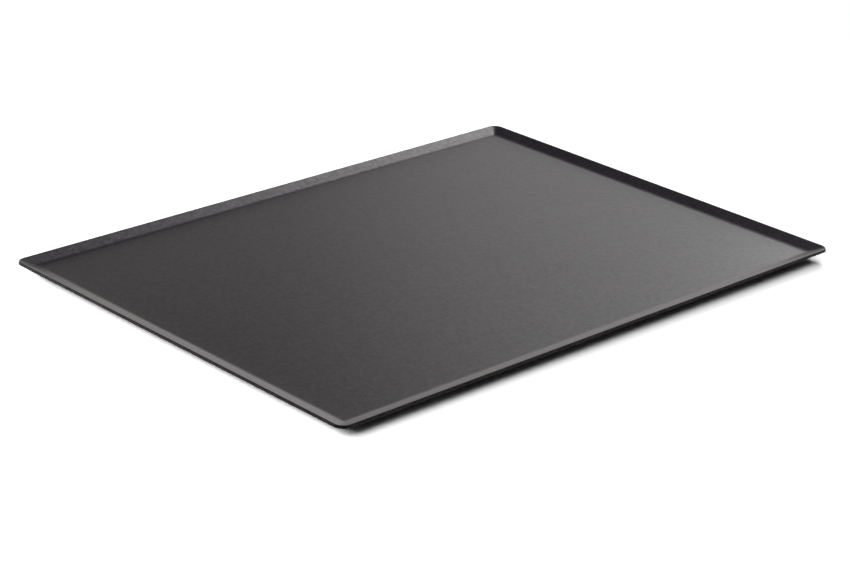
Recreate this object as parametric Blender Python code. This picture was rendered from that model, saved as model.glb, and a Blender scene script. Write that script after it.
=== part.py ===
# Shallow display tray: one pressed sheet of black anodised aluminium, its rim flared
# up all round at a low angle, standing on four rubber feet bonded under its corners.
# Metres, +Z up. X runs along the long side and Y along the short side. The origin is
# on the surface that the tray stands on, under the middle of the tray.

import math

import bpy
import bmesh

# Pressed sheet
TRAY_LENGTH = 0.420
TRAY_WIDTH = 0.310
SHEET_THICKNESS = 0.0020
RIM_WIDTH = 0.0105
RIM_SLOPE = math.radians(19.5)
BEND_RADIUS = 0.0120
RIM_CORNER_RADIUS = 0.0070
FLOOR_CORNER_RADIUS = 0.0015
CORNER_OPENING = 3.0
EDGE_ROUNDING = 0.0004

# Rubber feet and the adhesive discs that hold them
FOOT_DIAMETER = 0.0127
FOOT_HEIGHT = 0.0025
FOOT_DRAFT = math.radians(8.0)
FOOT_ROUNDING = 0.0007
FOOT_INSET = 0.0300
ADHESIVE_THICKNESS = 0.0004
ADHESIVE_MARGIN = 0.0006
SEAT_GAP = 0.0003

# Facets
CORNER_STEPS = 12
BEND_STEPS = 6
EDGE_STEPS = 4
TURNING_STEPS = 32
SHARP_ANGLE = math.radians(35.0)
MERGE_DISTANCE = 0.00001

# Heights that follow from the sizes above
ADHESIVE_BASE = FOOT_HEIGHT + SEAT_GAP
UNDERSIDE = ADHESIVE_BASE + ADHESIVE_THICKNESS + SEAT_GAP
FLOOR = UNDERSIDE + SHEET_THICKNESS

# How far the bend reaches to each side of the fold line
BEND_REACH = BEND_RADIUS * math.tan(RIM_SLOPE / 2)

CORNERS = {
    "front_left": (-1, -1),
    "front_right": (1, -1),
    "back_left": (-1, 1),
    "back_right": (1, 1),
}


def clear_scene():
    for old in list(bpy.data.objects):
        bpy.data.objects.remove(old, do_unlink=True)


def make_material(name, colour, metallic, roughness):
    material = bpy.data.materials.new(name)
    material.use_nodes = True
    shader = material.node_tree.nodes["Principled BSDF"]
    shader.inputs["Base Color"].default_value = (*colour, 1.0)
    shader.inputs["Metallic"].default_value = metallic
    shader.inputs["Roughness"].default_value = roughness
    material.diffuse_color = (*colour, 1.0)
    return material


def place(assembly, name, mesh, material, location):
    mesh.materials.append(material)
    piece = bpy.data.objects.new(name, mesh)
    bpy.context.scene.collection.objects.link(piece)
    piece.location = location
    piece.parent = assembly


def arc(centre, radius, start, end, steps):
    # Points on an arc in a plane, both ends included
    points = []
    for step in range(steps + 1):
        angle = start + (end - start) * step / steps
        across = centre[0] + radius * math.cos(angle)
        up = centre[1] + radius * math.sin(angle)
        points.append((across, up))
    return points


def sheet_section():
    # The sheet's cross-section from the edge of the flat floor outwards, over the
    # rim's edge and back along the underside. Each point is its distance outwards
    # from the fold line, where floor and rim would meet if the bend were sharp, and
    # its height above the floor's upper face.
    along = (math.cos(RIM_SLOPE), math.sin(RIM_SLOPE))
    square = (-math.sin(RIM_SLOPE), math.cos(RIM_SLOPE))
    edge_reach = EDGE_ROUNDING + (SHEET_THICKNESS - EDGE_ROUNDING) * math.sin(RIM_SLOPE)
    rim_length = EDGE_ROUNDING + (RIM_WIDTH - edge_reach) / along[0]

    def on_rim(distance, depth):
        outward = distance * along[0] - depth * square[0]
        height = distance * along[1] - depth * square[1]
        return outward, height

    quarter = math.pi / 2
    bend_centre = (-BEND_REACH, BEND_RADIUS)
    bend_ends = (-quarter, RIM_SLOPE - quarter)
    upper_bend = arc(bend_centre, BEND_RADIUS, *bend_ends, BEND_STEPS)
    lower_bend = arc(bend_centre, BEND_RADIUS + SHEET_THICKNESS, *bend_ends, BEND_STEPS)
    upper_edge = on_rim(rim_length - EDGE_ROUNDING, EDGE_ROUNDING)
    lower_edge = on_rim(rim_length - EDGE_ROUNDING, SHEET_THICKNESS - EDGE_ROUNDING)
    upper_round = arc(upper_edge, EDGE_ROUNDING, RIM_SLOPE + quarter, RIM_SLOPE, EDGE_STEPS)
    lower_round = arc(lower_edge, EDGE_ROUNDING, RIM_SLOPE, RIM_SLOPE - quarter, EDGE_STEPS)
    return upper_bend + upper_round + lower_round + lower_bend[::-1]


def sheet_outline(outward):
    # The sheet's rounded rectangle in plan at a distance outwards from the fold line.
    # The corner is pressed tight at the floor and stays so for most of the slope, so
    # the four rim walls meet in sharp mitred creases. It opens to the blanked radius
    # only near the rim.
    way_out = (outward + BEND_REACH) / (RIM_WIDTH + BEND_REACH)
    opening = way_out ** CORNER_OPENING
    radius = FLOOR_CORNER_RADIUS + (RIM_CORNER_RADIUS - FLOOR_CORNER_RADIUS) * opening
    inset = RIM_WIDTH - outward
    centre_x = TRAY_LENGTH / 2 - inset - radius
    centre_y = TRAY_WIDTH / 2 - inset - radius
    outline = []
    for quarter, (side_x, side_y) in enumerate(((1, 1), (-1, 1), (-1, -1), (1, -1))):
        start = quarter * math.pi / 2
        centre = (side_x * centre_x, side_y * centre_y)
        outline += arc(centre, radius, start, start + math.pi / 2, CORNER_STEPS)
    return outline


def finished_mesh(name, shape):
    # Faces turned outwards, round stretches shaded smooth and true edges kept sharp
    bmesh.ops.recalc_face_normals(shape, faces=shape.faces)
    mesh = bpy.data.meshes.new(name)
    shape.to_mesh(mesh)
    shape.free()
    mesh.shade_smooth()
    mesh.set_sharp_from_angle(angle=SHARP_ANGLE)
    return mesh


def tray_sheet_mesh():
    # Lofts the sheet through one outline for each point of its section
    shape = bmesh.new()
    rings = []
    for outward, height in sheet_section():
        outline = sheet_outline(outward)
        rings.append([shape.verts.new((x, y, height)) for x, y in outline])
    shape.faces.new(rings[0])
    for inner, outer in zip(rings, rings[1:]):
        for index in range(len(inner)):
            following = (index + 1) % len(inner)
            shape.faces.new((inner[index], outer[index], outer[following], inner[following]))
    shape.faces.new(rings[-1][::-1])
    return finished_mesh("tray_sheet", shape)


def turned_mesh(name, profile):
    # Spins a profile of (radius, height) points once round the Z axis
    shape = bmesh.new()
    points = [shape.verts.new((radius, 0.0, height)) for radius, height in profile]
    edges = [shape.edges.new(pair) for pair in zip(points, points[1:])]
    bmesh.ops.spin(
        shape,
        geom=points + edges,
        axis=(0.0, 0.0, 1.0),
        cent=(0.0, 0.0, 0.0),
        angle=math.tau,
        steps=TURNING_STEPS,
        use_merge=True,
    )
    bmesh.ops.remove_doubles(shape, verts=shape.verts, dist=MERGE_DISTANCE)
    return finished_mesh(name, shape)


def foot_profile():
    # A moulded disc, widest where it is bonded, with drawn-in sides and a rounded
    # ground edge round its flat ground face
    top_radius = FOOT_DIAMETER / 2
    side_at_round = top_radius - (FOOT_HEIGHT - FOOT_ROUNDING) * math.tan(FOOT_DRAFT)
    round_centre = (side_at_round - FOOT_ROUNDING / math.cos(FOOT_DRAFT), FOOT_ROUNDING)
    ground_edge = arc(round_centre, FOOT_ROUNDING, -FOOT_DRAFT, -math.pi / 2, EDGE_STEPS)
    return [(0.0, FOOT_HEIGHT), (top_radius, FOOT_HEIGHT), *ground_edge, (0.0, 0.0)]


def adhesive_profile():
    radius = FOOT_DIAMETER / 2 - ADHESIVE_MARGIN
    top = ADHESIVE_THICKNESS
    return [(0.0, top), (radius, top), (radius, 0.0), (0.0, 0.0)]


def build_tray():
    clear_scene()
    assembly = bpy.data.objects.new("display_tray", None)
    bpy.context.scene.collection.objects.link(assembly)

    anodised = make_material("black_anodised_aluminium", (0.045, 0.044, 0.043), 0.9, 0.38)
    place(assembly, "tray_sheet", tray_sheet_mesh(), anodised, (0.0, 0.0, FLOOR))

    foot_x = TRAY_LENGTH / 2 - FOOT_INSET
    foot_y = TRAY_WIDTH / 2 - FOOT_INSET
    for corner, (side_x, side_y) in CORNERS.items():
        spot = (side_x * foot_x, side_y * foot_y)

        name = "foot_" + corner
        rubber = make_material("black_rubber_" + corner, (0.020, 0.020, 0.021), 0.0, 0.75)
        place(assembly, name, turned_mesh(name, foot_profile()), rubber, (*spot, 0.0))

        name = "adhesive_disc_" + corner
        film = make_material("adhesive_film_" + corner, (0.60, 0.58, 0.52), 0.0, 0.60)
        disc = turned_mesh(name, adhesive_profile())
        place(assembly, name, disc, film, (*spot, ADHESIVE_BASE))


build_tray()
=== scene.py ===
# Looks of the black display tray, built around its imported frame

import math

import bpy
from mathutils import Matrix, Vector


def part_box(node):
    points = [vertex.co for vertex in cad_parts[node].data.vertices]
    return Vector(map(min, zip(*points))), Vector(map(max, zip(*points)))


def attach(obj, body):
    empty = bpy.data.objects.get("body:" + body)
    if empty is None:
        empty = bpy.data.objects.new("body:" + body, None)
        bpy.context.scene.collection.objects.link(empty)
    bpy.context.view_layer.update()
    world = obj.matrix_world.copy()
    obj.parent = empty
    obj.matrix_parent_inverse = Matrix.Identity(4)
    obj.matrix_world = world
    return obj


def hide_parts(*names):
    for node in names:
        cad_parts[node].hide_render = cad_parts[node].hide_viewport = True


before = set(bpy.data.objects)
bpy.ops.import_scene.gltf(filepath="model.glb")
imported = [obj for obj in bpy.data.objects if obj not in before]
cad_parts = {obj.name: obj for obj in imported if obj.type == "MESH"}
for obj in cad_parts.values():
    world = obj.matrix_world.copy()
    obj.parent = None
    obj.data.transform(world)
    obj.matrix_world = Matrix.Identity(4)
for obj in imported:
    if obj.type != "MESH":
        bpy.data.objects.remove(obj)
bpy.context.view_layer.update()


# Pressed sheet
# One blank of 2 mm aluminium with rounded corners, its edge flared up all round in a
# press, which leaves a soft bend at the floor and a tight mitre where two walls meet.
# It is blasted and black anodised after pressing, so floor, rim and cut edge match.

SHEET_THICKNESS = 0.0020
RIM_WIDTH = 0.0105
RIM_SLOPE = math.radians(19.5)
BEND_RADIUS = 0.0120
RIM_CORNER_RADIUS = 0.0070
FLOOR_CORNER_RADIUS = 0.0015
CORNER_OPENING = 3.0
EDGE_ROUNDING = 0.0004
CORNER_STEPS = 24
BEND_STEPS = 8
EDGE_STEPS = 4
SLOPE_SHARES = (0.03, 0.35, 0.65, 0.97)
MERGE_DISTANCE = 0.000002
QUARTER_TURN = math.pi / 2


def fill_inputs(tree, node, inputs):
    """Sets a node's inputs to values, or links them to sockets or other nodes."""
    for key, value in inputs.items():
        if isinstance(value, bpy.types.Node):
            value = next(socket for socket in value.outputs if socket.enabled)
        if isinstance(value, bpy.types.NodeSocket):
            tree.links.new(value, node.inputs[key])
        else:
            node.inputs[key].default_value = value


def add_node(tree, kind, inputs=None, **settings):
    """Adds a node with its settings, and fills its inputs."""
    node = tree.nodes.new(kind)
    for name, value in settings.items():
        setattr(node, name, value)
    fill_inputs(tree, node, inputs or {})
    return node


def shape_tree(name, sizes):
    """Starts a Geometry Nodes tree whose named inputs are the piece's sizes."""
    tree = bpy.data.node_groups.new(name, "GeometryNodeTree")
    tree.interface.new_socket("Geometry", in_out="OUTPUT", socket_type="NodeSocketGeometry")
    for size_name, value in sizes.items():
        kind = "NodeSocketInt" if isinstance(value, int) else "NodeSocketFloat"
        tree.interface.new_socket(size_name, in_out="INPUT", socket_type=kind)
    return tree, add_node(tree, "NodeGroupInput").outputs


def filleted_section(tree, corners, fillets, counts):
    """A piece's section: a curve through its corners, each rounded in so many steps."""
    number = add_node(tree, "GeometryNodeInputIndex")
    switches = []
    for kind, choices in (("VECTOR", corners), ("FLOAT", fillets), ("INT", counts)):
        switch = add_node(tree, "GeometryNodeIndexSwitch", {"Index": number}, data_type=kind)
        while len(switch.index_switch_items) < len(choices):
            switch.index_switch_items.new()
        fill_inputs(tree, switch, dict(enumerate(choices, start=1)))
        switches.append(switch)
    corner, fillet, count = switches
    unbent = add_node(tree, "GeometryNodeMeshLine", {"Count": len(corners)})
    bent = add_node(tree, "GeometryNodeSetPosition", {"Geometry": unbent, "Position": corner})
    outline = add_node(tree, "GeometryNodeMeshToCurve", {"Mesh": bent})
    return add_node(tree, "GeometryNodeFilletCurve", {
        "Curve": outline,
        "Count": count,
        "Radius": fillet,
        "Limit Radius": False,
    }, mode="POLY")


def section_grid(tree, section, columns):
    """A grid to wrap round a piece, with a row for each point of its section. Returns the
    grid, with each point's place on the section and the column that it is in."""
    section_size = add_node(tree, "GeometryNodeAttributeDomainSize", {"Geometry": section},
                            component="CURVE")
    grid = add_node(tree, "GeometryNodeMeshGrid", {
        "Vertices X": section_size.outputs["Point Count"],
        "Vertices Y": columns,
    })
    here = add_node(tree, "GeometryNodeInputIndex")
    row_exact = add_node(tree, "ShaderNodeMath", {0: here, 1: columns}, operation="DIVIDE")
    row = add_node(tree, "ShaderNodeMath", {0: row_exact}, operation="FLOOR")
    column = add_node(tree, "ShaderNodeMath", {0: here, 1: columns}, operation="MODULO")
    on_section = add_node(tree, "GeometryNodeSampleIndex", {
        "Geometry": section,
        "Value": add_node(tree, "GeometryNodeInputPosition"),
        "Index": row,
    }, data_type="FLOAT_VECTOR", domain="POINT")
    return grid, on_section, column


def closed_and_smooth(tree, geometry):
    """Joins the points that meet at seams and poles, and shades the faces smooth."""
    closed = add_node(tree, "GeometryNodeMergeByDistance", {
        "Geometry": geometry,
        "Distance": MERGE_DISTANCE,
    })
    return add_node(tree, "GeometryNodeSetShadeSmooth", {"Geometry": closed})


def finish_tree(tree, geometry, material):
    """Ends a tree with plain geometry that carries its material."""
    plain = add_node(tree, "GeometryNodeRealizeInstances", {"Geometry": geometry})
    painted = add_node(tree, "GeometryNodeSetMaterial", {"Geometry": plain, "Material": material})
    add_node(tree, "NodeGroupOutput", {"Geometry": painted})


def bake_tree(name, tree, sizes):
    """Runs a tree with these sizes and returns its result as a plain mesh object."""
    host = bpy.data.objects.new(name + "_host", bpy.data.meshes.new(name + "_host"))
    bpy.context.scene.collection.objects.link(host)
    modifier = host.modifiers.new("shape", "NODES")
    modifier.node_group = tree
    for item in tree.interface.items_tree:
        if item.in_out == "INPUT":
            modifier[item.identifier] = sizes[item.name]
    view = bpy.context.evaluated_depsgraph_get()
    mesh = bpy.data.meshes.new_from_object(host.evaluated_get(view), depsgraph=view)
    bpy.data.objects.remove(host)
    mesh.name = name
    piece = bpy.data.objects.new(name, mesh)
    bpy.context.scene.collection.objects.link(piece)
    return piece


def linear(hex_colour):
    """A colour written as sRGB hex, in the linear values that shaders take."""
    channels = [int(hex_colour[start:start + 2], 16) / 255 for start in (1, 3, 5)]
    curved = [c / 12.92 if c <= 0.04045 else ((c + 0.055) / 1.055) ** 2.4 for c in channels]
    return (*curved, 1.0)


def start_material(name):
    """A material with an empty tree, and the place of each point on its piece."""
    material = bpy.data.materials.new(name)
    material.use_nodes = True
    tree = material.node_tree
    tree.nodes.clear()
    place = add_node(tree, "ShaderNodeTexCoord").outputs["Object"]
    return material, tree, place


PIT_BLACK = "#191818"
CREST_GREY = "#3d3c3c"
PIT_SIZE = 0.0015
PIT_DEPTH = 0.00006
MOTTLE_SIZE = 0.0033
MOTTLE_SHARE = 0.40
GRAIN_LOW = 0.22
GRAIN_HIGH = 0.78
CLOUD_SIZE = 0.110
SMOOTHEST_SATIN = 0.292
ROUGHEST_SATIN = 0.312


def black_anodised_aluminium():
    """Blasted aluminium under a black dyed oxide layer: an even satin, near black from above
    and shining grey at a low angle, whose roughness drifts a little over 110 mm. The pits
    that the blasting leaves are 0.2 mm across, and are drawn 1.5 mm across, with a mottling
    of 3.3 mm, so that the grain shows."""
    material, tree, place = start_material("black_anodised_aluminium")
    pits = add_node(tree, "ShaderNodeTexNoise", {
        "Vector": place,
        "Scale": 1.0 / PIT_SIZE,
        "Detail": 2.0,
    })
    mottle = add_node(tree, "ShaderNodeTexNoise", {
        "Vector": place,
        "Scale": 1.0 / MOTTLE_SIZE,
        "Detail": 1.0,
    })
    cloud = add_node(tree, "ShaderNodeTexNoise", {
        "Vector": place,
        "Scale": 1.0 / CLOUD_SIZE,
        "Detail": 3.0,
    })
    blend = add_node(tree, "ShaderNodeMix", {"Factor": MOTTLE_SHARE, "A": pits, "B": mottle})
    grain = add_node(tree, "ShaderNodeMapRange", {
        "Value": blend,
        "From Min": GRAIN_LOW,
        "From Max": GRAIN_HIGH,
    })
    tone = add_node(tree, "ShaderNodeMix", {
        "Factor": grain,
        "A": linear(PIT_BLACK),
        "B": linear(CREST_GREY),
    }, data_type="RGBA")
    satin = add_node(tree, "ShaderNodeMapRange", {
        "Value": cloud,
        "To Min": SMOOTHEST_SATIN,
        "To Max": ROUGHEST_SATIN,
    })
    bump = add_node(tree, "ShaderNodeBump", {
        "Height": grain,
        "Strength": 0.5,
        "Distance": PIT_DEPTH,
    })
    surface = add_node(tree, "ShaderNodeBsdfPrincipled", {
        "Base Color": tone,
        "Metallic": 1.0,
        "Roughness": satin,
        "Normal": bump,
    })
    add_node(tree, "ShaderNodeOutputMaterial", {"Surface": surface})
    return material


def sheet_section(tree, size):
    """The sheet's section, each point of it at its distance out from the fold line and its
    height over the floor. Returns it with the two ends on the flat floor, above and below,
    and with the reach of the bend to each side of the fold line."""
    thickness = size["Thickness"]
    rounding = size["Edge Rounding"]
    bend = size["Bend Radius"]

    # Directions up the sloping rim and square to it
    sine = add_node(tree, "ShaderNodeMath", {0: size["Rim Slope"]}, operation="SINE")
    cosine = add_node(tree, "ShaderNodeMath", {0: size["Rim Slope"]}, operation="COSINE")
    downward = add_node(tree, "ShaderNodeMath", {0: 0.0, 1: cosine}, operation="SUBTRACT")
    along = add_node(tree, "ShaderNodeCombineXYZ", {"X": cosine, "Z": sine})
    square = add_node(tree, "ShaderNodeCombineXYZ", {"X": sine, "Z": downward})

    # Length of the slope, so that the rounded edge ends at the tray's overall size
    flank = add_node(tree, "ShaderNodeMath", {0: thickness, 1: rounding}, operation="SUBTRACT")
    flank_out = add_node(tree, "ShaderNodeMath", {0: flank, 1: sine, 2: rounding},
                         operation="MULTIPLY_ADD")
    reach = add_node(tree, "ShaderNodeMath", {0: size["Rim Width"], 1: flank_out},
                     operation="SUBTRACT")
    slant = add_node(tree, "ShaderNodeMath", {0: reach, 1: cosine}, operation="DIVIDE")
    slope_length = add_node(tree, "ShaderNodeMath", {0: slant, 1: rounding}, operation="ADD")

    # Reach of the bend, and where the slope's rounded edge begins
    half_slope = add_node(tree, "ShaderNodeMath", {0: size["Rim Slope"], 1: 0.5},
                          operation="MULTIPLY")
    half_tangent = add_node(tree, "ShaderNodeMath", {0: half_slope}, operation="TANGENT")
    bend_reach = add_node(tree, "ShaderNodeMath", {0: bend, 1: half_tangent},
                          operation="MULTIPLY")
    slope_end = add_node(tree, "ShaderNodeMath", {0: slope_length, 1: rounding},
                         operation="SUBTRACT")

    # Points along the slope above and below, which keep its ends from shading over it
    through = add_node(tree, "ShaderNodeVectorMath", {0: square, "Scale": thickness},
                       operation="SCALE")
    above = []
    for share in SLOPE_SHARES:
        distance = add_node(tree, "ShaderNodeMapRange", {
            "Value": share,
            "To Min": bend_reach,
            "To Max": slope_end,
        })
        above.append(add_node(tree, "ShaderNodeVectorMath", {0: along, "Scale": distance},
                              operation="SCALE"))
    under = []
    for point in reversed(above):
        under.append(add_node(tree, "ShaderNodeVectorMath", {0: point, 1: through},
                              operation="ADD"))

    # Corners of the section: floor, fold, slope, rim edge top and bottom, and back below
    lower_bend = add_node(tree, "ShaderNodeMath", {0: bend, 1: thickness}, operation="ADD")
    inside = add_node(tree, "ShaderNodeMath", {0: 0.0, 1: bend}, operation="SUBTRACT")
    below = add_node(tree, "ShaderNodeMath", {0: 0.0, 1: thickness}, operation="SUBTRACT")
    lower_fold_out = add_node(tree, "ShaderNodeMath", {0: half_tangent, 1: thickness},
                              operation="MULTIPLY")
    edge_top = add_node(tree, "ShaderNodeVectorMath", {0: along, "Scale": slope_length},
                        operation="SCALE")
    corners = [
        add_node(tree, "ShaderNodeCombineXYZ", {"X": inside}),
        add_node(tree, "ShaderNodeCombineXYZ"),
        *above,
        edge_top,
        add_node(tree, "ShaderNodeVectorMath", {0: edge_top, 1: through}, operation="ADD"),
        *under,
        add_node(tree, "ShaderNodeCombineXYZ", {"X": lower_fold_out, "Z": below}),
        add_node(tree, "ShaderNodeCombineXYZ", {"X": inside, "Z": below}),
    ]
    straight = [0.0] * len(SLOPE_SHARES)
    fillets = [0.0, bend, *straight, rounding, rounding, *straight, lower_bend, 0.0]
    single = [1] * len(SLOPE_SHARES)
    bend_steps = size["Bend Steps"]
    edge_steps = size["Edge Steps"]
    counts = [1, bend_steps, *single, edge_steps, edge_steps, *single, bend_steps, 1]
    section = filleted_section(tree, corners, fillets, counts)
    return section, (corners[0], corners[-1]), bend_reach


def place_on_tray(tree, size, section_place, column, quarter_points, bend_reach):
    """Where a point of the section goes in its column round the tray's four corners."""
    split = add_node(tree, "ShaderNodeSeparateXYZ", {0: section_place})

    # Which corner the column is at, and how far round it
    quarter_exact = add_node(tree, "ShaderNodeMath", {0: column, 1: quarter_points},
                             operation="DIVIDE")
    quarter = add_node(tree, "ShaderNodeMath", {0: quarter_exact}, operation="FLOOR")
    step = add_node(tree, "ShaderNodeMath", {0: column, 1: quarter_points},
                    operation="MODULO")
    share = add_node(tree, "ShaderNodeMath", {0: step, 1: size["Corner Steps"]},
                     operation="DIVIDE")
    turns = add_node(tree, "ShaderNodeMath", {0: quarter, 1: share}, operation="ADD")
    middle = add_node(tree, "ShaderNodeMath", {0: quarter, 1: 0.5}, operation="ADD")
    directions = []
    for quarters in (turns, middle):
        angle = add_node(tree, "ShaderNodeMath", {0: quarters, 1: QUARTER_TURN},
                         operation="MULTIPLY")
        across = add_node(tree, "ShaderNodeMath", {0: angle}, operation="COSINE")
        up = add_node(tree, "ShaderNodeMath", {0: angle}, operation="SINE")
        directions.append(add_node(tree, "ShaderNodeCombineXYZ", {"X": across, "Y": up}))
    round_direction, corner_direction = directions
    side = add_node(tree, "ShaderNodeVectorMath", {0: corner_direction}, operation="SIGN")

    # The corner stays tight up the mitre and opens to the blank's radius near the rim
    bend_start = add_node(tree, "ShaderNodeMath", {0: 0.0, 1: bend_reach}, operation="SUBTRACT")
    way_out = add_node(tree, "ShaderNodeMapRange", {
        "Value": split.outputs["X"],
        "From Min": bend_start,
        "From Max": size["Rim Width"],
    })
    opened = add_node(tree, "ShaderNodeMath", {0: way_out, 1: size["Corner Opening"]},
                      operation="POWER")
    radius = add_node(tree, "ShaderNodeMapRange", {
        "Value": opened,
        "To Min": size["Floor Corner Radius"],
        "To Max": size["Rim Corner Radius"],
    })

    # Centre of the corner's arc, and the point on the arc
    tray_size = add_node(tree, "ShaderNodeCombineXYZ", {"X": size["Length"], "Y": size["Width"]})
    half_size = add_node(tree, "ShaderNodeVectorMath", {0: tray_size, "Scale": 0.5},
                         operation="SCALE")
    to_rim = add_node(tree, "ShaderNodeMath", {0: size["Rim Width"], 1: split.outputs["X"]},
                      operation="SUBTRACT")
    to_centre = add_node(tree, "ShaderNodeMath", {0: to_rim, 1: radius}, operation="ADD")
    both_ways = add_node(tree, "ShaderNodeCombineXYZ", {"X": to_centre, "Y": to_centre})
    centre = add_node(tree, "ShaderNodeVectorMath", {0: half_size, 1: both_ways},
                      operation="SUBTRACT")
    centre_there = add_node(tree, "ShaderNodeVectorMath", {0: centre, 1: side},
                            operation="MULTIPLY")
    radius_both = add_node(tree, "ShaderNodeCombineXYZ", {"X": radius, "Y": radius})
    in_plan = add_node(tree, "ShaderNodeVectorMath", {
        0: round_direction,
        1: radius_both,
        2: centre_there,
    }, operation="MULTIPLY_ADD")
    height = add_node(tree, "ShaderNodeMath", {0: split.outputs["Z"], 1: size["Floor Height"]},
                      operation="ADD")
    lift = add_node(tree, "ShaderNodeCombineXYZ", {"Z": height})
    return add_node(tree, "ShaderNodeVectorMath", {0: in_plan, 1: lift}, operation="ADD")


def pressed_sheet_tree(sizes, material):
    """Lofts the sheet's section through a rounded rectangle for each of its points."""
    tree, size = shape_tree("pressed_sheet", sizes)
    section, ends, bend_reach = sheet_section(tree, size)

    # The wall all round, whose last column lies on the first one
    quarter_points = add_node(tree, "ShaderNodeMath", {0: size["Corner Steps"], 1: 1.0},
                              operation="ADD")
    round_points = add_node(tree, "ShaderNodeMath", {0: quarter_points, 1: 4.0},
                            operation="MULTIPLY")
    columns = add_node(tree, "ShaderNodeMath", {0: round_points, 1: 1.0}, operation="ADD")
    grid, on_section, grid_column = section_grid(tree, section, columns)

    # The flat floor and its underside, as one face each with a point for each column
    floor_end, underside_end = ends
    face_column = add_node(tree, "GeometryNodeInputIndex")
    floor_face = add_node(tree, "GeometryNodeMeshCircle", {"Vertices": round_points},
                          fill_type="NGON")
    underside_face = add_node(tree, "GeometryNodeFlipFaces", {"Mesh": floor_face})
    parts = (
        (grid, on_section, grid_column),
        (floor_face, floor_end, face_column),
        (underside_face, underside_end, face_column),
    )

    # Each point keeps its place on the section and its column, and goes where they say
    joined = add_node(tree, "GeometryNodeJoinGeometry")
    for flat, section_place, column in parts:
        placed = add_node(tree, "GeometryNodeStoreNamedAttribute", {
            "Geometry": flat,
            "Name": "section",
            "Value": section_place,
        }, data_type="FLOAT_VECTOR", domain="POINT")
        numbered = add_node(tree, "GeometryNodeStoreNamedAttribute", {
            "Geometry": placed,
            "Name": "column",
            "Value": column,
        }, data_type="FLOAT", domain="POINT")
        fill_inputs(tree, joined, {0: numbered})
    section_now = add_node(tree, "GeometryNodeInputNamedAttribute", {"Name": "section"},
                           data_type="FLOAT_VECTOR")
    column_now = add_node(tree, "GeometryNodeInputNamedAttribute", {"Name": "column"},
                          data_type="FLOAT")
    position = place_on_tray(tree, size, section_now, column_now, quarter_points, bend_reach)
    shaped = add_node(tree, "GeometryNodeSetPosition", {"Geometry": joined, "Position": position})
    finish_tree(tree, closed_and_smooth(tree, shaped), material)
    return tree


sheet_low, sheet_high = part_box("tray_sheet")
sheet_sizes = {
    "Length": sheet_high.x - sheet_low.x,
    "Width": sheet_high.y - sheet_low.y,
    "Floor Height": sheet_low.z + SHEET_THICKNESS,
    "Thickness": SHEET_THICKNESS,
    "Rim Width": RIM_WIDTH,
    "Rim Slope": RIM_SLOPE,
    "Bend Radius": BEND_RADIUS,
    "Rim Corner Radius": RIM_CORNER_RADIUS,
    "Floor Corner Radius": FLOOR_CORNER_RADIUS,
    "Corner Opening": CORNER_OPENING,
    "Edge Rounding": EDGE_ROUNDING,
    "Corner Steps": CORNER_STEPS,
    "Bend Steps": BEND_STEPS,
    "Edge Steps": EDGE_STEPS,
}
sheet_tree = pressed_sheet_tree(sheet_sizes, black_anodised_aluminium())
sheet = bake_tree("pressed_sheet", sheet_tree, sheet_sizes)
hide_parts("tray_sheet")
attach(sheet, "root")


# Adhesive discs
# A die-cut disc of clear-white acrylic film, 0.4 mm thick, bonds each foot to the sheet.
# It is a little smaller than the foot, so that none of it shows round the rubber.

CORNERS = ("front_left", "front_right", "back_left", "back_right")
BELL_WHITE = "#d8d5cb"
FILM_WHITE = "#c8c4b8"
BELL_SPACING = 0.0005
BELL_REACH = 0.5
BELL_ROUGHNESS = 0.45
FILM_ROUGHNESS = 0.62


def acrylic_adhesive_film():
    """Cast acrylic adhesive: milky and dull, with small paler air bells 0.5 mm apart."""
    material, tree, place = start_material("acrylic_adhesive_film")
    bells = add_node(tree, "ShaderNodeTexVoronoi", {"Vector": place, "Scale": 1.0 / BELL_SPACING})
    film = add_node(tree, "ShaderNodeMapRange", {
        "Value": bells.outputs["Distance"],
        "From Max": BELL_REACH,
    })
    tone = add_node(tree, "ShaderNodeMix", {
        "Factor": film,
        "A": linear(BELL_WHITE),
        "B": linear(FILM_WHITE),
    }, data_type="RGBA")
    dull = add_node(tree, "ShaderNodeMapRange", {
        "Value": film,
        "To Min": BELL_ROUGHNESS,
        "To Max": FILM_ROUGHNESS,
    })
    surface = add_node(tree, "ShaderNodeBsdfPrincipled", {"Base Color": tone, "Roughness": dull})
    add_node(tree, "ShaderNodeOutputMaterial", {"Surface": surface})
    return material


adhesive_film = acrylic_adhesive_film()
for corner in CORNERS:
    for finish_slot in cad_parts["adhesive_disc_" + corner].material_slots:
        finish_slot.material = adhesive_film


# Rubber feet
# Four bumpers of black rubber, compression moulded with drawn-in sides and a rounded
# ground edge. Each is stuck on under a corner of the flat floor, clear of the bend.

FOOT_DRAFT = math.radians(8.0)
FOOT_GROUND_ROUNDING = 0.0007
FOOT_TOP_ROUNDING = 0.0002
FOOT_ROUND_STEPS = 6
FOOT_TURNING_STEPS = 64
RUBBER_BLACK = "#222223"
BLOOM_GREY = "#2b2b2c"
BLOOM_SIZE = 0.006
RUBBER_ROUGHNESS = 0.68
BLOOM_ROUGHNESS = 0.82
ERODED_SIZE = 0.0003
ERODED_DEPTH = 0.00005


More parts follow.
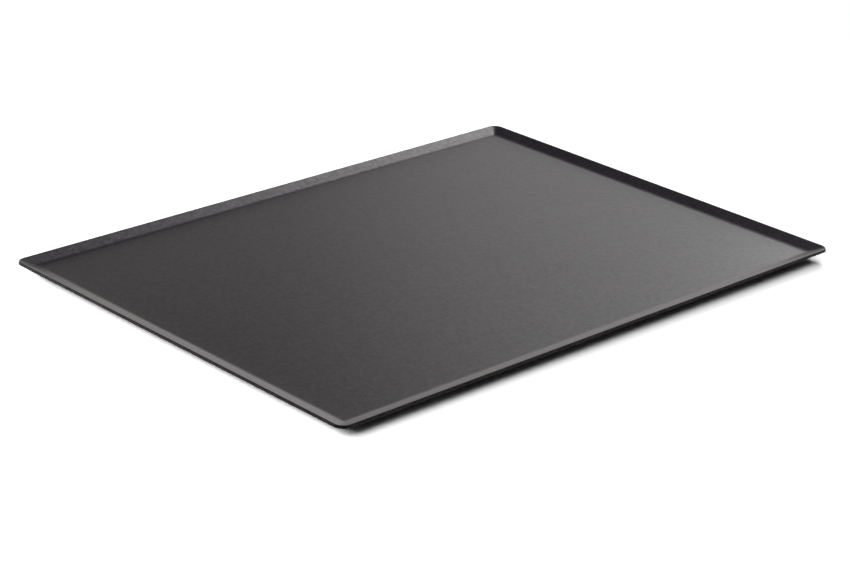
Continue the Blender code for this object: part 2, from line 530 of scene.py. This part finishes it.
def moulded_rubber():
    """Black rubber from a matt steel mould: deep and dull, with a fine eroded texture
    0.3 mm across and a faint grey bloom where it has aged."""
    material, tree, place = start_material("moulded_rubber")
    bloom = add_node(tree, "ShaderNodeTexNoise", {
        "Vector": place,
        "Scale": 1.0 / BLOOM_SIZE,
        "Detail": 3.0,
    })
    tone = add_node(tree, "ShaderNodeMix", {
        "Factor": bloom,
        "A": linear(RUBBER_BLACK),
        "B": linear(BLOOM_GREY),
    }, data_type="RGBA")
    dull = add_node(tree, "ShaderNodeMapRange", {
        "Value": bloom,
        "To Min": RUBBER_ROUGHNESS,
        "To Max": BLOOM_ROUGHNESS,
    })
    eroded = add_node(tree, "ShaderNodeTexNoise", {"Vector": place, "Scale": 1.0 / ERODED_SIZE})
    bump = add_node(tree, "ShaderNodeBump", {
        "Height": eroded,
        "Strength": 0.3,
        "Distance": ERODED_DEPTH,
    })
    surface = add_node(tree, "ShaderNodeBsdfPrincipled", {
        "Base Color": tone,
        "Roughness": dull,
        "Normal": bump,
    })
    add_node(tree, "ShaderNodeOutputMaterial", {"Surface": surface})
    return material


def rubber_feet_tree(sizes, material):
    """Turns one foot from its half section and sets a copy at each point of a rectangle."""
    tree, size = shape_tree("rubber_feet", sizes)

    # Half section from the middle of the bonded face, down the side, to the ground face
    radius = add_node(tree, "ShaderNodeMath", {0: size["Diameter"], 1: 0.5}, operation="MULTIPLY")
    lean = add_node(tree, "ShaderNodeMath", {0: size["Draft"]}, operation="TANGENT")
    drawn_in = add_node(tree, "ShaderNodeMath", {0: lean, 1: size["Height"]}, operation="MULTIPLY")
    ground_radius = add_node(tree, "ShaderNodeMath", {0: radius, 1: drawn_in},
                             operation="SUBTRACT")
    corners = [
        add_node(tree, "ShaderNodeCombineXYZ", {"Z": size["Height"]}),
        add_node(tree, "ShaderNodeCombineXYZ", {"X": radius, "Z": size["Height"]}),
        add_node(tree, "ShaderNodeCombineXYZ", {"X": ground_radius}),
        add_node(tree, "ShaderNodeCombineXYZ"),
    ]
    fillets = [0.0, size["Top Rounding"], size["Ground Rounding"], 0.0]
    counts = [size["Round Steps"]] * len(corners)
    section = filleted_section(tree, corners, fillets, counts)

    # The section swept once round, as a grid that closes on itself and at its two poles
    columns = add_node(tree, "ShaderNodeMath", {0: size["Turning Steps"], 1: 1.0},
                       operation="ADD")
    grid, on_section, column = section_grid(tree, section, columns)
    share = add_node(tree, "ShaderNodeMath", {0: column, 1: size["Turning Steps"]},
                     operation="DIVIDE")
    angle = add_node(tree, "ShaderNodeMath", {0: share, 1: math.tau}, operation="MULTIPLY")
    turned = add_node(tree, "ShaderNodeVectorRotate", {"Vector": on_section, "Angle": angle},
                      rotation_type="Z_AXIS")
    foot = add_node(tree, "GeometryNodeSetPosition", {"Geometry": grid, "Position": turned})

    # One foot at each corner of the feet's rectangle
    spots = add_node(tree, "GeometryNodeMeshGrid", {
        "Size X": size["Spacing Along"],
        "Size Y": size["Spacing Across"],
        "Vertices X": 2,
        "Vertices Y": 2,
    })
    four_feet = add_node(tree, "GeometryNodeInstanceOnPoints", {
        "Points": spots,
        "Instance": closed_and_smooth(tree, foot),
    })
    finish_tree(tree, four_feet, material)
    return tree


first_low, first_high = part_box("foot_front_left")
last_low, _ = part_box("foot_back_right")
foot_sizes = {
    "Diameter": first_high.x - first_low.x,
    "Height": first_high.z - first_low.z,
    "Draft": FOOT_DRAFT,
    "Top Rounding": FOOT_TOP_ROUNDING,
    "Ground Rounding": FOOT_GROUND_ROUNDING,
    "Round Steps": FOOT_ROUND_STEPS,
    "Turning Steps": FOOT_TURNING_STEPS,
    "Spacing Along": last_low.x - first_low.x,
    "Spacing Across": last_low.y - first_low.y,
}
feet_tree = rubber_feet_tree(foot_sizes, moulded_rubber())
feet = bake_tree("rubber_feet", feet_tree, foot_sizes)
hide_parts(*("foot_" + corner for corner in CORNERS))
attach(feet, "root")


# White paper
# The tray stands on a wide sheet of white paper. The camera sees it in a stronger white
# than the metal does, so that it is white in the open and keeps the tray's soft shadow.
# Behind the tray that white is weaker, which keeps the outline of the rim smooth.

PLAIN_WHITE = "#ffffff"
PAPER_SIZE = 40.0
PAPER_WHITE = 0.8
PAPER_TO_METAL = 1.0
PAPER_IN_FRONT = 1.9
PAPER_BEHIND = 1.28
BEHIND_FROM = 0.006
BEHIND_TO = 0.014
PLAIN_WHITE_FROM = 0.40
PLAIN_WHITE_TO = 0.65


def mirrored_by_metal(tree, ray):
    """Gives 1 for a ray that the metal mirrors straight here, and 0 for every other."""
    direct = add_node(tree, "ShaderNodeMath", {0: ray.outputs["Diffuse Depth"], 1: 0.5},
                      operation="LESS_THAN")
    return add_node(tree, "ShaderNodeMath", {0: ray.outputs["Is Glossy Ray"], 1: direct},
                    operation="MULTIPLY")


def white_paper():
    """Smooth matt paper. Its white is lit by the lamps up to a short way round the tray,
    and further off, where they weaken, the camera sees a plain white."""
    material, tree, place = start_material("white_paper")
    ray = add_node(tree, "ShaderNodeLightPath")

    # How far a point lies past the tray's two far sides, and how far from its middle
    past_rim = add_node(tree, "ShaderNodeVectorMath", {
        0: place,
        1: (sheet_high.x, sheet_high.y, 0.0),
    }, operation="SUBTRACT")
    sides = add_node(tree, "ShaderNodeSeparateXYZ", {0: past_rim})
    nearest = add_node(tree, "ShaderNodeMath", {0: sides.outputs["X"], 1: sides.outputs["Y"]},
                       operation="MAXIMUM")
    behind = add_node(tree, "ShaderNodeMapRange", {
        "Value": nearest,
        "From Min": BEHIND_FROM,
        "From Max": BEHIND_TO,
    })
    from_middle = add_node(tree, "ShaderNodeVectorMath", {0: place}, operation="LENGTH")
    far_off = add_node(tree, "ShaderNodeMapRange", {
        "Value": from_middle,
        "From Min": PLAIN_WHITE_FROM,
        "From Max": PLAIN_WHITE_TO,
    })

    # The paper as the camera sees it, as the metal mirrors it, and as it lights the rest
    to_camera = add_node(tree, "ShaderNodeMix", {
        "Factor": behind,
        "A": PAPER_IN_FRONT,
        "B": PAPER_BEHIND,
    })
    to_the_rest = add_node(tree, "ShaderNodeMix", {
        "Factor": mirrored_by_metal(tree, ray),
        "A": PAPER_WHITE,
        "B": PAPER_TO_METAL,
    })
    shade = add_node(tree, "ShaderNodeMix", {
        "Factor": ray.outputs["Is Camera Ray"],
        "A": to_the_rest,
        "B": to_camera,
    })
    matt = add_node(tree, "ShaderNodeBsdfDiffuse", {"Color": shade})
    plain = add_node(tree, "ShaderNodeEmission", {"Color": linear(PLAIN_WHITE), "Strength": 1.0})
    seen_far_off = add_node(tree, "ShaderNodeMath", {
        0: far_off,
        1: ray.outputs["Is Camera Ray"],
    }, operation="MULTIPLY")
    surface = add_node(tree, "ShaderNodeMixShader", {0: seen_far_off, 1: matt, 2: plain})
    add_node(tree, "ShaderNodeOutputMaterial", {"Surface": surface})
    return material


half_paper = PAPER_SIZE / 2
paper_mesh = bpy.data.meshes.new("studio_floor")
paper_mesh.from_pydata(
    [
        (-half_paper, -half_paper, 0.0),
        (half_paper, -half_paper, 0.0),
        (half_paper, half_paper, 0.0),
        (-half_paper, half_paper, 0.0),
    ],
    [],
    [(0, 1, 2, 3)],
)
paper_mesh.materials.append(white_paper())
floor = bpy.data.objects.new("studio_floor", paper_mesh)
bpy.context.scene.collection.objects.link(floor)


# Horizon
# The satin metal mirrors a studio with a low pale wall round it, brighter on some headings
# and dark behind the camera, and a dim violet ceiling with a pale opening overhead. The
# camera sees plain white instead, and the paper gets next to no light from it.

HORIZON_TOP = 10.8
HORIZON_FADE = 11.6
HORIZON_BRIGHTEST = 3.5

# Headings, counted from the tray's right towards its back, and the wall's level at each
HORIZON_LEVELS = (
    (-70.0, 0.0),
    (-60.0, 0.3),
    (-20.0, 1.49),
    (10.0, 1.6),
    (30.0, 1.92),
    (45.0, 1.62),
    (60.0, 1.5),
    (80.0, 1.08),
    (100.0, 2.2),
    (120.0, 3.4),
    (145.0, 1.1),
    (179.0, 0.0),
)

CEILING_LEVEL = 0.352
OVERHEAD_LEVEL = 1.1
OVERHEAD_FROM = 62.0
OVERHEAD_TO = 80.0
AMBIENT = 0.010

# Tints are factors on red, green and blue, and some pass 1
HORIZON_TINT = (1.035, 0.988, 0.983, 1.0)
CEILING_TINT = (0.98, 0.86, 1.18, 1.0)
TINT_FROM = 22.0
TINT_TO = 45.0


def height_of(elevation):
    """The height of a direction on a unit globe, from its elevation in degrees."""
    return math.sin(math.radians(elevation))


def mirrored_studio():
    """A world whose light is set by heading and elevation, both in degrees."""
    world = bpy.data.worlds.new("studio")
    world.use_nodes = True
    tree = world.node_tree
    tree.nodes.clear()
    ray = add_node(tree, "ShaderNodeLightPath")
    direction = add_node(tree, "ShaderNodeTexCoord").outputs["Generated"]
    split = add_node(tree, "ShaderNodeSeparateXYZ", {0: direction})

    # Brightness of the wall by heading, as stops on a ramp that starts on the tray's left
    heading = add_node(tree, "ShaderNodeMath", {0: split.outputs["Y"], 1: split.outputs["X"]},
                       operation="ARCTAN2")
    round_share = add_node(tree, "ShaderNodeMapRange", {
        "Value": heading,
        "From Min": -math.pi,
        "From Max": math.pi,
    })
    ramp = add_node(tree, "ShaderNodeValToRGB", {0: round_share})
    stops = ramp.color_ramp.elements
    while len(stops) < len(HORIZON_LEVELS):
        stops.new(1.0)
    for stop, (azimuth, brightness) in zip(stops, HORIZON_LEVELS):
        stop.position = (azimuth + 180.0) / 360.0
        share = brightness / HORIZON_BRIGHTEST
        stop.color = (share, share, share, 1.0)
    wall_level = add_node(tree, "ShaderNodeMath", {0: ramp, 1: HORIZON_BRIGHTEST},
                          operation="MULTIPLY")

    # Up from the wall to the ceiling, and on to the opening overhead
    low_down = add_node(tree, "ShaderNodeMapRange", {
        "Value": split.outputs["Z"],
        "From Min": height_of(HORIZON_TOP + HORIZON_FADE),
        "From Max": height_of(HORIZON_TOP - HORIZON_FADE),
    }, interpolation_type="SMOOTHSTEP")
    below_opening = add_node(tree, "ShaderNodeMix", {
        "Factor": low_down,
        "A": CEILING_LEVEL,
        "B": wall_level,
    })
    overhead = add_node(tree, "ShaderNodeMapRange", {
        "Value": split.outputs["Z"],
        "From Min": height_of(OVERHEAD_FROM),
        "From Max": height_of(OVERHEAD_TO),
    }, interpolation_type="SMOOTHSTEP")
    studio_level = add_node(tree, "ShaderNodeMix", {
        "Factor": overhead,
        "A": below_opening,
        "B": OVERHEAD_LEVEL,
    })

    # Violet on the ceiling alone
    rise = add_node(tree, "ShaderNodeMapRange", {
        "Value": split.outputs["Z"],
        "From Min": height_of(TINT_FROM),
        "From Max": height_of(TINT_TO),
    })
    not_overhead = add_node(tree, "ShaderNodeMath", {0: 1.0, 1: overhead}, operation="SUBTRACT")
    on_ceiling = add_node(tree, "ShaderNodeMath", {0: rise, 1: not_overhead},
                          operation="MULTIPLY")
    studio_tint = add_node(tree, "ShaderNodeMix", {
        "Factor": on_ceiling,
        "A": HORIZON_TINT,
        "B": CEILING_TINT,
    }, data_type="RGBA")

    # What the metal mirrors, what lights the rest, and the camera's plain white
    mirrored = mirrored_by_metal(tree, ray)
    level = add_node(tree, "ShaderNodeMix", {"Factor": mirrored, "A": AMBIENT, "B": studio_level})
    strength = add_node(tree, "ShaderNodeMath", {0: level, 1: ray.outputs["Is Camera Ray"]},
                        operation="MAXIMUM")
    colour = add_node(tree, "ShaderNodeMix", {
        "Factor": mirrored,
        "A": linear(PLAIN_WHITE),
        "B": studio_tint,
    }, data_type="RGBA")
    sky = add_node(tree, "ShaderNodeBackground", {"Color": colour, "Strength": strength})
    add_node(tree, "ShaderNodeOutputWorld", {"Surface": sky})
    return world


bpy.context.scene.world = mirrored_studio()


# Softboxes
# Three softboxes light the paper from the tray's right, back and left, and give its shadow
# its shape. Two panels on its right are for the metal to mirror, and don't light the paper.

LAMP_DISTANCE = 3.0


def softbox(name, azimuth, elevation, width, height, radiance, mirrored, roll=0.0):
    """An area light that faces the tray, with its brightness as seen and not its power.
    One kind lights the paper, and the other is there for the metal to mirror."""
    lamp = bpy.data.lights.new(name, "AREA")
    lamp.shape = "RECTANGLE"
    lamp.size = width
    lamp.size_y = height
    lamp.energy = math.pi * width * height * radiance
    azimuth = math.radians(azimuth)
    elevation = math.radians(elevation)
    towards = Vector((
        math.cos(elevation) * math.cos(azimuth),
        math.cos(elevation) * math.sin(azimuth),
        math.sin(elevation),
    ))
    level_across = Vector((-math.sin(azimuth), math.cos(azimuth), 0.0))
    across = Matrix.Rotation(math.radians(roll), 3, towards) @ level_across
    upward = towards.cross(across)
    light = bpy.data.objects.new(name, lamp)
    light.visible_diffuse = not mirrored
    light.visible_glossy = mirrored
    light.location = towards * LAMP_DISTANCE
    light.rotation_euler = Matrix((across, upward, towards)).transposed().to_euler()
    bpy.context.scene.collection.objects.link(light)


softbox("right_softbox", azimuth=31.6, elevation=33.6, width=1.35, height=0.53,
        radiance=19.7, mirrored=False)
softbox("back_softbox", azimuth=70.7, elevation=24.3, width=1.54, height=0.96,
        radiance=13.1, mirrored=False)
softbox("left_softbox", azimuth=189.1, elevation=33.9, width=1.91, height=1.25,
        radiance=10.7, mirrored=False)
softbox("wide_panel", azimuth=31.4, elevation=28.6, width=1.01, height=1.90,
        radiance=0.89, mirrored=True, roll=39.5)
softbox("tall_panel", azimuth=21.2, elevation=31.5, width=0.92, height=3.56,
        radiance=6.07, mirrored=True)


# Camera
# A long lens about 1.6 m from the tray and 23 degrees above it, facing its front left
# corner, as the four lines of the rim and the four of the fold in the photograph place it.

LENS_MM = 107.26
SENSOR_MM = 36.0
CAMERA_AIM = Vector((-0.03539, -0.03347, 0.00864))
CAMERA_DISTANCE = 1.56275
CAMERA_HEADING = math.radians(46.350)
CAMERA_TILT = math.radians(22.592)
CAMERA_ROLL = math.radians(1.865)
CLIP_START = 0.01
CLIP_END = 100.0

camera_data = bpy.data.cameras.new("camera")
camera_data.lens = LENS_MM
camera_data.sensor_width = SENSOR_MM
camera_data.clip_start = CLIP_START
camera_data.clip_end = CLIP_END
camera = bpy.data.objects.new("camera", camera_data)
forward = Vector((
    math.cos(CAMERA_HEADING) * math.cos(CAMERA_TILT),
    math.sin(CAMERA_HEADING) * math.cos(CAMERA_TILT),
    -math.sin(CAMERA_TILT),
))
upright = forward.to_track_quat("-Z", "Y").to_matrix()
rolled = upright @ Matrix.Rotation(CAMERA_ROLL, 3, "Z")
camera.matrix_world = Matrix.LocRotScale(CAMERA_AIM - forward * CAMERA_DISTANCE, rolled, None)
bpy.context.scene.collection.objects.link(camera)
bpy.context.scene.camera = camera


# Colours show as they are written.

bpy.context.scene.view_settings.view_transform = "Standard"
